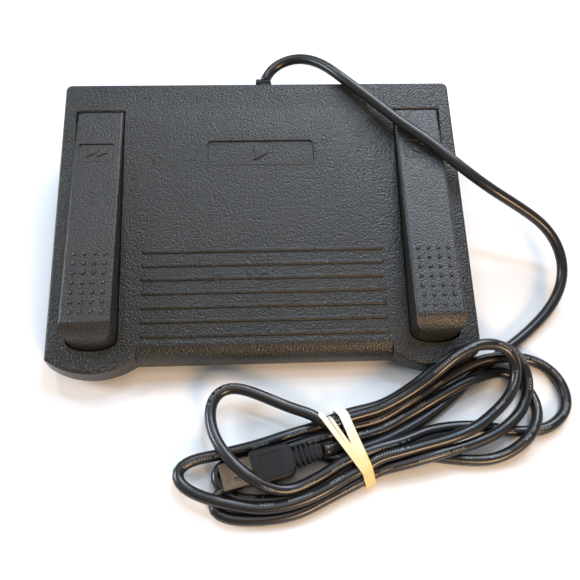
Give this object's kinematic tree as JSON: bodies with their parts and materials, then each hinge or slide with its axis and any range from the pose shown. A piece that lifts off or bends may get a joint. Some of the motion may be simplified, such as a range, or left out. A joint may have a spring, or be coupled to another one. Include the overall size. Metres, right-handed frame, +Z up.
{
  "type": "foot control",
  "caption": "Black foot control: a wedge-shaped hinged centre treadle with grip ribs, a studded pedal in a slot at each side, and a USB lead tied in a hank",
  "frame": {"origin": "centre of the housing's box on the floor, under the four feet, cord left out", "axes": "+X across the pedals to the user's right, -Y toward the user and the pedals' toe ends, +Z up"},
  "size_m": [0.253, 0.2315, 0.0501],
  "materials": {
    "textured_abs": "pebbled semi-gloss black moulding",
    "base_abs": "fine matt black moulding",
    "zinc_steel": "zinc plated",
    "black_rubber": "matt black",
    "board_green": "green solder mask on fibreglass",
    "chip_epoxy": "moulded epoxy",
    "nickel": "nickel plate",
    "white_nylon": "natural nylon",
    "switch_body": "smooth black",
    "switch_red": "smooth red",
    "spring_steel": "drawn wire",
    "pvc_jacket": "satin black jacket with pale printed dashes",
    "band_rubber": "cream latex"
  },
  "bodies": {
    "base": {"base_tub": "base_abs", "ballast_plate": "zinc_steel", "ballast_screw_left": "zinc_steel", "ballast_screw_right": "zinc_steel", "board_screw_1": "zinc_steel", "board_screw_2": "zinc_steel", "board_screw_3": "zinc_steel", "board_screw_4": "zinc_steel", "hinge_rod": "zinc_steel", "foot_rear_left": "black_rubber", "foot_rear_right": "black_rubber", "foot_toe_left": "black_rubber", "foot_toe_right": "black_rubber", "play_bumper_left": "black_rubber", "play_bumper_right": "black_rubber", "cable_gland": "black_rubber", "circuit_board": "board_green", "controller_chip": "chip_epoxy", "filter_capacitor": "chip_epoxy", "crystal_can": "nickel", "cable_header": "white_nylon", "play_switch": "switch_body", "left_switch": "switch_body", "right_switch": "switch_body", "play_spring_left": "spring_steel", "play_spring_right": "spring_steel", "left_pedal_spring": "spring_steel", "right_pedal_spring": "spring_steel", "inner_lead": "pvc_jacket", "cable_lead": "pvc_jacket", "cable_hank": "pvc_jacket", "usb_plug_body": "pvc_jacket", "usb_plug_shell": "nickel", "rubber_band": "band_rubber"},
    "cover": {"play_cover": "textured_abs"},
    "left_treadle": {"left_pedal": "textured_abs"},
    "right_treadle": {"right_pedal": "textured_abs"},
    "play_button": {"play_plunger": "switch_red"},
    "left_button": {"left_plunger": "switch_red"},
    "right_button": {"right_plunger": "switch_red"}
  },
  "joints": [
    {"name": "play_hinge", "type": "hinge", "parent": "base", "child": "cover", "pos_m": [0, 0.053, 0.029], "axis": [1, 0, 0], "range_deg": [0, 1.6], "stiffness_Nm_per_rad": 9, "springref_deg": -1.6, "deforming": ["play_spring_left", "play_spring_right"]},
    {"name": "left_pedal_hinge", "type": "hinge", "parent": "base", "child": "left_treadle", "pos_m": [-0.079, 0.053, 0.029], "axis": [1, 0, 0], "range_deg": [0, 3.5], "stiffness_Nm_per_rad": 2.1, "springref_deg": -3.27, "deforming": ["left_pedal_spring"]},
    {"name": "right_pedal_hinge", "type": "hinge", "parent": "base", "child": "right_treadle", "pos_m": [0.079, 0.053, 0.029], "axis": [1, 0, 0], "range_deg": [0, 3.5], "stiffness_Nm_per_rad": 2.1, "springref_deg": -3.27, "deforming": ["right_pedal_spring"]},
    {"name": "play_plunger_slide", "type": "slide", "parent": "base", "child": "play_button", "axis": [0, 0, -1], "range_m": [0, 0.0012]},
    {"name": "left_plunger_slide", "type": "slide", "parent": "base", "child": "left_button", "axis": [0, 0, -1], "range_m": [0, 0.0017]},
    {"name": "right_plunger_slide", "type": "slide", "parent": "base", "child": "right_button", "axis": [0, 0, -1], "range_m": [0, 0.0017]}
  ],
  "couplings": [
    {"joint": "play_plunger_slide", "follows": "play_hinge", "m_per_rad": 0.04},
    {"joint": "left_plunger_slide", "follows": "left_pedal_hinge", "m_per_rad": 0.026},
    {"joint": "right_plunger_slide", "follows": "right_pedal_hinge", "m_per_rad": 0.026}
  ]
}
